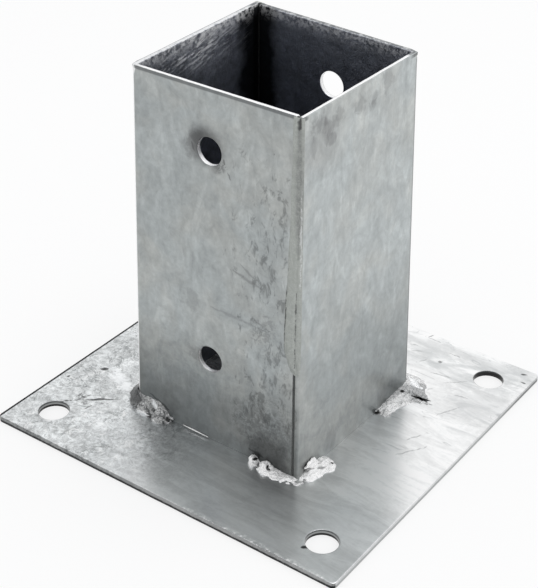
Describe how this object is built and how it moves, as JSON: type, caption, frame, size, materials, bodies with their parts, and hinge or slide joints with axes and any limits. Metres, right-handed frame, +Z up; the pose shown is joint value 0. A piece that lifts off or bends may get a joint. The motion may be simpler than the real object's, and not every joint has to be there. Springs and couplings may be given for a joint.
{
  "type": "post anchor",
  "caption": "Square sheet-steel sleeve for a timber post, welded upright on a drilled base plate, with cross-bolt holes through opposite walls.",
  "frame": {"origin": "centre of the base plate's underside", "axes": "+Z up the sleeve; -Y through the drilled wall that faces left in the picture; +X through the plain wall beside it"},
  "size_m": [0.157, 0.149, 0.1488],
  "materials": {
    "plate_zinc": "hot-dip zinc, bright and crystalline, with dull streaks and scratches",
    "sleeve_zinc": "hot-dip zinc, dull and cloudy, with dark flecks",
    "seam_zinc": "flattened weld bead under zinc",
    "weld_zinc": "bright lumpy weld metal under zinc, pitted"
  },
  "bodies": {
    "root": {"base_plate": "plate_zinc", "folded_angle_left": "sleeve_zinc", "folded_angle_right": "sleeve_zinc", "seam_weld_front": "seam_zinc", "seam_weld_back": "seam_zinc", "base_weld_front": "weld_zinc", "base_weld_right": "weld_zinc", "base_weld_left": "weld_zinc", "base_weld_back": "weld_zinc"}
  },
  "joints": []
}
